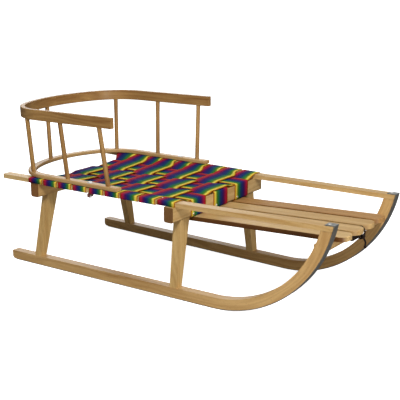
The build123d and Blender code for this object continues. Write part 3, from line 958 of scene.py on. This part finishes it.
    def build(self) -> None:
        """Builds and dresses every strap, each in place of its solid."""
        finish = Webbing("rainbow_webbing", self.shape.strap_width * MM).build()
        rails, bars = ["side_rail_left", "side_rail_right"], ["crossbar_front", "crossbar_rear"]
        straps = []
        for number, edges in enumerate(self.edges(), 1):
            straps.append((f"cross_strap_{number}", self.cross_strap(number, edges), rails))
        for side, place in ((-1, "right"), (0, "middle"), (1, "left")):
            straps.append((f"long_strap_{place}", self.long_strap(side), bars))
        for name, rows, rests_on in straps:
            strap, flat = self.ribbon(f"{name}_woven", rows, finish)
            settle(strap, "striped_webbing", name)


# Tow cord


@dataclass
class TowCord:
    """The tow cord, wound up on the footrest's crossbar."""

    diameter: float = 4.0
    coil_diameter: float = 14.5
    coil_shift: Triple = (2.5, 0.0, -2.5)
    coil_length: float = 37.0
    turns: float = 9.0
    steps_per_turn: int = 14
    coil_sides: int = 10
    line_steps: int = 12
    line_roundness: int = 4
    forward: float = 4.48
    tail: tuple[Triple, ...] = (
        (438.5, 0.0, 172.0),
        (440.3, 4.0, 167.0),
        (441.3, 9.0, 160.5),
        (440.6, 14.0, 154.0),
        (437.94, 18.0, 147.66),
    )
    tail_length: float = 31.0
    turn_over_bar: tuple[Triple, ...] = (
        (441.5, 0.5, 190.0),
        (444.0, 0.0, 181.0),
        (441.5, -1.0, 172.5),
        (436.0, -1.5, 166.5),
        (427.5, -1.0, 170.0),
        (425.0, 0.0, 181.0),
        (428.0, 0.8, 191.0),
        (435.0, 1.0, 194.5),
    )
    knot_turns: tuple[tuple[Triple, ...], ...] = (
        (
            (442.5, -5.0, 176.0),
            (444.5, -1.0, 174.0),
            (442.5, 2.5, 172.0),
            (438.5, 2.5, 172.5),
            (436.0, -1.0, 175.0),
            (438.5, -5.0, 176.5),
        ),
        (
            (443.5, -3.5, 170.5),
            (443.0, 1.5, 175.0),
            (439.5, 2.0, 177.0),
            (437.0, -2.0, 173.5),
            (439.0, -6.0, 170.0),
        ),
    )

    def point(self, place: Triple) -> Vector:
        """A route point in metres in the sled's frame."""
        return (Vector(place) + Vector((self.forward, 0, 0))) * MM

    def winding_tree(self) -> NodeTree:
        """Builds the node tree that winds a round cord into a close coil.

        Returns:
            The node tree, with the coil's sizes as its inputs.
        """
        plan = Growth("cord_winding", "Turns", "Coil radius", "Coil length", "Cord radius")
        spiral = plan.node(
            "GeometryNodeCurveSpiral",
            Resolution=self.steps_per_turn,
            Rotations=plan.given["Turns"],
            Start_Radius=plan.given["Coil radius"],
            End_Radius=plan.given["Coil radius"],
            Height=plan.given["Coil length"],
        )
        ring = plan.node(
            "GeometryNodeCurvePrimitiveCircle", Resolution=self.coil_sides, Radius=plan.given["Cord radius"]
        )
        skin = plan.node(
            "GeometryNodeCurveToMesh",
            Curve=spiral.outputs["Curve"],
            Profile_Curve=ring.outputs["Curve"],
            Fill_Caps=True,
        )
        smooth = plan.node("GeometryNodeSetShadeSmooth", Geometry=skin.outputs["Mesh"])
        return plan.finish(smooth.outputs["Geometry"])

    def winding(self, finish: Material) -> Object:
        """Winds the coil in the place of its solid.

        Args:
            finish: The cord's material.

        Returns:
            The coil as a plain mesh.
        """
        low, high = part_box("tow_cord_coil")
        sizes = {
            "Turns": self.turns,
            "Coil radius": (self.coil_diameter - self.diameter) / 2 * MM,
            "Coil length": (self.coil_length - self.diameter) * MM,
            "Cord radius": self.diameter / 2 * MM,
            "Finish": finish,
        }
        start = Vector(((low[0] + high[0]) / 2, high[1] - self.diameter / 2 * MM, (low[2] + high[2]) / 2))
        place = Matrix.Translation(start + Vector(self.coil_shift) * MM) @ Matrix.Rotation(pi / 2, 4, "X")
        mesh = Growth.grow(self.winding_tree(), sizes, "tow_cord_winding")
        mesh.transform(place)
        whole = bmesh.new()
        whole.from_mesh(mesh)
        for number, turn in enumerate((self.turn_over_bar, *self.knot_turns)):
            name = f"cord_turn_{number}"
            line = link(name, self.line(name, turn, True))
            graph = bpy.context.evaluated_depsgraph_get()
            whole.from_mesh(bpy.data.meshes.new_from_object(line.evaluated_get(graph)))
            bpy.data.objects.remove(line)
        for face in whole.faces:
            face.smooth = True
        whole.to_mesh(mesh)
        whole.free()
        return link("tow_cord_winding", mesh)

    def line(self, name: str, places: tuple[Triple, ...], closed: bool) -> Curve:
        """Lays the cord along a smooth line.

        Args:
            name: The curve's name.
            places: Its control points.
            closed: Whether the line comes back to its start.

        Returns:
            The curve, as thick as the cord.
        """
        curve = bpy.data.curves.new(name, "CURVE")
        curve.dimensions = "3D"
        line = curve.splines.new("NURBS")
        line.points.add(len(places) - 1)
        for point, place in zip(line.points, places):
            point.co = (*self.point(place), 1.0)
        line.order_u = 3
        line.use_cyclic_u = closed
        line.use_endpoint_u = not closed
        line.resolution_u = self.line_steps
        curve.bevel_depth = self.diameter / 2 * MM
        curve.bevel_resolution = self.line_roundness
        curve.use_fill_caps = True
        return curve

    def build(self) -> None:
        finish = Braid("dark_braid").build()
        settle(self.winding(finish), "dark_cord", "tow_cord_coil")
        tail = link("tow_cord_free_end", self.line("tow_cord_tail_line", self.tail, False), finish)
        settle(tail, "dark_cord", "tow_cord_tail")
        for name in ("tow_cord_loop", "tow_cord_knot", "tow_cord_end_knot"):
            dress(name, finish)


# Wood, steel and small parts


def dress(node: str, material: Material) -> None:
    """Gives a solid of the frame its material.

    Args:
        node: The solid's name.
        material: Its material.
    """
    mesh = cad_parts[node].data
    mesh.materials.clear()
    mesh.materials.append(material)


@dataclass
class Woodwork:
    """Every wooden piece, with the way its grain runs."""

    pale: Triple = (0.640, 0.440, 0.195)
    pale_dark: Triple = (0.400, 0.225, 0.070)
    leg: Triple = (0.600, 0.405, 0.165)
    leg_dark: Triple = (0.385, 0.215, 0.066)
    bent: Triple = (0.430, 0.250, 0.086)
    bent_dark: Triple = (0.190, 0.080, 0.018)
    low_hoop: Triple = (0.530, 0.345, 0.150)
    red: Triple = (0.540, 0.310, 0.110)
    red_dark: Triple = (0.280, 0.125, 0.032)
    # Darkest tone: the end grain of the slats and front bar, and the painted shade on the slats' side faces.
    end_and_edge_shade: Triple = (0.110, 0.040, 0.008)

    def build(self) -> None:
        """Dresses the wooden solids."""
        pale = {"light": self.pale, "dark": self.pale_dark}
        leg = {"light": self.leg, "dark": self.leg_dark}
        legs = [f"leg_{at}_{side}" for at in ("front", "rear") for side in ("left", "right")]
        rods = [f"spindle_{side}_{at}" for side in ("left", "right") for at in ("front", "middle", "rear")]
        bent = {"light": self.bent, "dark": self.bent_dark}
        # The far slat: a redder tone of its own, with painted shade on its side faces.
        red = {"light": self.red, "dark": self.red_dark, "painted_edge_shade": 0.55, "end_grain_and_shade": self.end_and_edge_shade}
        along, over, up = Grain.ALONG_X, Grain.ALONG_Y, Grain.UPRIGHT
        rail = {"ends": (-0.4465, 9.0), **pale}
        slat = {"end_grain_and_shade": self.end_and_edge_shade, **pale}
        plan = {
            Beech("beech_runner_left", Grain.ROUND_BEND, shift=(0.0, 0.1, 0.0)): ["runner_left"],
            Beech("beech_runner_right", Grain.ROUND_BEND, shift=(0.2, 0.3, 0.0)): ["runner_right"],
            Beech("beech_rail_left", along, shift=(0.1, 0.05, 0.02), **rail): ["side_rail_left"],
            Beech("beech_rail_right", along, shift=(0.3, 0.25, 0.02), **rail): ["side_rail_right"],
            Beech("beech_front_bar", over, ends=(-0.187, 0.187), **slat): ["crossbar_front"],
            Beech("beech_rear_bar", over, ends=(-0.1935, 0.1935)): ["crossbar_rear"],
            Beech("beech_foot_bar", over): ["footrest_crossbar"],
            Beech("beech_legs", up, **leg): legs,
            # Painted shade on the slats' side faces, strongest on the slat under the near rail.
            Beech("beech_slat_1", along, shift=(0.0, 0.0, 0.1), painted_edge_shade=1.0, **slat): ["footrest_slat_1"],
            Beech("beech_slat_2", along, shift=(0.4, 0.2, 0.0), painted_edge_shade=0.45, **slat): ["footrest_slat_2"],
            Beech("beech_slat_3", along, shift=(0.9, 0.4, 0.1), painted_edge_shade=0.45, **slat): ["footrest_slat_3"],
            Beech("beech_slat_4", along, shift=(0.7, 0.1, 0.0), **red): ["footrest_slat_4"],
            Beech("beech_upper_hoop", Grain.ROUND_HOOP, **bent): ["backrest_upper_hoop"],
            Beech("beech_lower_hoop", Grain.ROUND_HOOP, light=self.low_hoop, shift=(0.0, 0.0, 0.2)): [
                "backrest_lower_hoop"
            ],
            Beech("beech_spindles", up, shift=(0.0, 0.3, 0.5), **bent): ["spindle_back", *rods],
        }
        for finish, nodes in plan.items():
            material = finish.build()
            for node in nodes:
                dress(node, material)
            LOG.info("%s on %d pieces", finish.name, len(nodes))


@dataclass
class Metalwork:
    """The runner strips, the bolts with their wing nuts, and the small screw and nail heads."""

    screw_spots: tuple[Triple, ...] = (
        (0.4405, 0.1525, 0.2366),
        (0.4405, -0.1525, 0.2366),
    )
    nail_spots: tuple[Triple, ...] = (
        (0.0782, -0.110, 0.187),
        (0.0782, -0.018, 0.187),
        (0.0782, 0.073, 0.187),
    )
    head_segments: int = 20
    head_rings: int = 10

    def heads_tree(self) -> NodeTree:
        """Builds the node tree that puts a low round head on every point.

        Returns:
            The node tree, with the head's sizes and tilt as its inputs.
        """
        plan = Growth("fastener_heads", "Radius", "Height", "Tilt")
        points = plan.node("GeometryNodeMeshToPoints", Mesh=plan.given["Geometry"])
        ball = plan.node(
            "GeometryNodeMeshUVSphere",
            Segments=self.head_segments,
            Rings=self.head_rings,
            Radius=plan.given["Radius"],
        )
        smooth = plan.node("GeometryNodeSetShadeSmooth", Geometry=ball.outputs["Mesh"])
        flatness = plan.node("ShaderNodeMath", plan.given["Height"], plan.given["Radius"])
        flatness.operation = "DIVIDE"
        scale = plan.node("ShaderNodeCombineXYZ", 1.0, 1.0, flatness.outputs[0])
        turn = plan.node("ShaderNodeCombineXYZ", 0.0, plan.given["Tilt"])
        put = plan.node(
            "GeometryNodeInstanceOnPoints",
            Points=points.outputs["Points"],
            Instance=smooth.outputs["Geometry"],
            Rotation=turn.outputs[0],
            Scale=scale.outputs[0],
        )
        return plan.finish(put.outputs["Instances"])

    def build(self) -> None:
        """Dresses the metal solids and adds the heads."""
        strip = Steel("rolled_steel").build()
        zinc = Steel("zinc_plate", (0.74, 0.73, 0.70), (0.42, 0.39, 0.35), 0.30).build()
        nut = Steel("wing_nut_steel", (0.20, 0.075, 0.055), (0.08, 0.03, 0.02), 0.50, 0.3).build()
        for side in ("left", "right"):
            dress(f"runner_strip_{side}", strip)
            dress(f"backrest_bolt_{side}", zinc)
            dress(f"wing_nut_{side}", nut)
        tree = self.heads_tree()
        for name, spots, sizes in (
            ("strip_screws", self.screw_spots, {"Radius": 0.0040, "Height": 0.0012, "Tilt": 0.0}),
            ("strap_nails", self.nail_spots, {"Radius": 0.0030, "Height": 0.0011, "Tilt": pi / 2}),
        ):
            mesh = Growth.grow(tree, {**sizes, "Finish": zinc}, name, spots)
            settle(link(name, mesh), "zinc_steel")


# The studio


@dataclass(frozen=True)
class Lamp:
    """One square soft light: its side in metres, its power in watts, where it hangs and what it points at."""

    name: str
    side: float
    power: float
    place: Triple
    aim: Triple

    def hang(self) -> None:
        """Adds the light to the scene."""
        data = bpy.data.lights.new(self.name, "AREA")
        data.size = self.side
        data.energy = self.power
        lamp = bpy.data.objects.new(self.name, data)
        lamp.location = self.place
        lamp.visible_camera = False
        lamp.rotation_euler = (Vector(self.place) - Vector(self.aim)).to_track_quat("Z", "Y").to_euler()
        bpy.context.scene.collection.objects.link(lamp)


@dataclass
class Studio:
    """Floor, lights and camera."""

    lens: float = 79.68
    sensor: float = 36.0
    sight: float = 50.0
    place: Triple = (1.1950, -1.6835, 0.7409)
    yaw: float = 35.087
    pitch: float = 15.142
    roll: float = 0.252
    shift: Pair = (0.0049, 0.0006)
    floor_reach: float = 30.0
    floor_bounce: Triple = (0.20, 0.19, 0.18)
    floor_white: float = 0.9
    floor_glow: float = 0.95
    surround: float = 0.22
    mirrored: float = 0.60
    lamps: tuple[Lamp, ...] = (
        Lamp("overhead", 3.0, 14.0, (0.3, 0.2, 2.6), (0.0, 0.0, 0.2)),
        Lamp("key", 0.7, 80.0, (1.4, -1.9, 2.4), (0.0, 0.0, 0.2)),
        Lamp("low_front", 0.5, 24.0, (2.1, -1.1, 0.20), (-0.2, 0.1, 0.12)),
        Lamp("back_fill", 1.2, 12.0, (-1.7, 1.7, 0.8), (0.0, 0.0, 0.2)),
    )

    def camera(self) -> None:
        """Puts the camera where the photograph was taken."""
        yaw, pitch, roll = radians(self.yaw), radians(self.pitch), radians(self.roll)
        ahead = Vector((-sin(yaw) * cos(pitch), cos(yaw) * cos(pitch), -sin(pitch)))
        side = ahead.cross(Vector((0, 0, 1))).normalized()
        rise = side.cross(ahead)
        right = side * cos(roll) + rise * sin(roll)
        up = rise * cos(roll) - side * sin(roll)
        data = bpy.data.cameras.new("camera")
        data.lens = self.lens
        data.sensor_width = self.sensor
        data.shift_x, data.shift_y = self.shift
        data.clip_end = self.sight
        camera = bpy.data.objects.new("camera", data)
        turned = Matrix((right, up, -ahead)).transposed().to_4x4()
        camera.matrix_world = Matrix.Translation(self.place) @ turned
        bpy.context.scene.collection.objects.link(camera)
        bpy.context.scene.camera = camera

    def floor(self) -> None:
        """Lays the pale floor: plain white to the camera but for a faint shadow, and dull to other light."""
        mesh = bpy.data.meshes.new("floor")
        far = self.floor_reach
        corners = [(-far, -far, 0), (far, -far, 0), (far, far, 0), (-far, far, 0)]
        mesh.from_pydata(corners, [], [(0, 1, 2, 3)])
        s = Shader("pale_floor")
        seen = s.node("ShaderNodeLightPath", None, out="Is Camera Ray")
        dull = s.node("ShaderNodeBsdfDiffuse", None, (*self.floor_bounce, 1.0))
        white = s.node("ShaderNodeBsdfDiffuse", None, (*[self.floor_white] * 3, 1.0))
        glow = s.node("ShaderNodeEmission", None, (1.0, 1.0, 1.0, 1.0), self.floor_glow)
        bright = s.node("ShaderNodeAddShader", None, white, glow)
        mixed = s.node("ShaderNodeMixShader", None, seen, dull, bright)
        s.tree.links.new(mixed.socket, s.output.inputs["Surface"])
        link("floor", mesh, s.material)

    def world(self) -> None:
        """A surround that is white to the camera, dimmer in reflections and dimmest as light."""
        world = bpy.data.worlds.new("surround")
        bpy.context.scene.world = world
        world.use_nodes = True
        tree = world.node_tree
        tree.nodes.clear()
        path = tree.nodes.new("ShaderNodeLightPath")
        out = tree.nodes.new("ShaderNodeOutputWorld")
        strength = None
        for ray, level in (("Is Glossy Ray", self.mirrored), ("Is Camera Ray", 1.0)):
            step = tree.nodes.new("ShaderNodeMix")
            step.data_type = "FLOAT"
            tree.links.new(path.outputs[ray], step.inputs[0])
            step.inputs[2].default_value = self.surround
            step.inputs[3].default_value = level
            if strength is not None:
                tree.links.new(strength, step.inputs[2])
            strength = step.outputs[0]
        back = tree.nodes.new("ShaderNodeBackground")
        back.inputs["Color"].default_value = (1.0, 1.0, 1.0, 1.0)
        tree.links.new(strength, back.inputs["Strength"])
        tree.links.new(back.outputs[0], out.inputs[0])

    def build(self) -> None:
        """Sets up the whole studio."""
        self.camera()
        self.floor()
        self.world()
        for lamp in self.lamps:
            lamp.hang()
        bpy.context.scene.view_settings.view_transform = "Standard"


def main() -> None:
    """Builds the sled's pieces and the studio."""
    logging.basicConfig(level=logging.INFO, format="%(name)s %(message)s")
    Studio().build()
    Woodwork().build()
    Metalwork().build()
    Seat().build()
    TowCord().build()


if __name__ == "__main__":
    main()
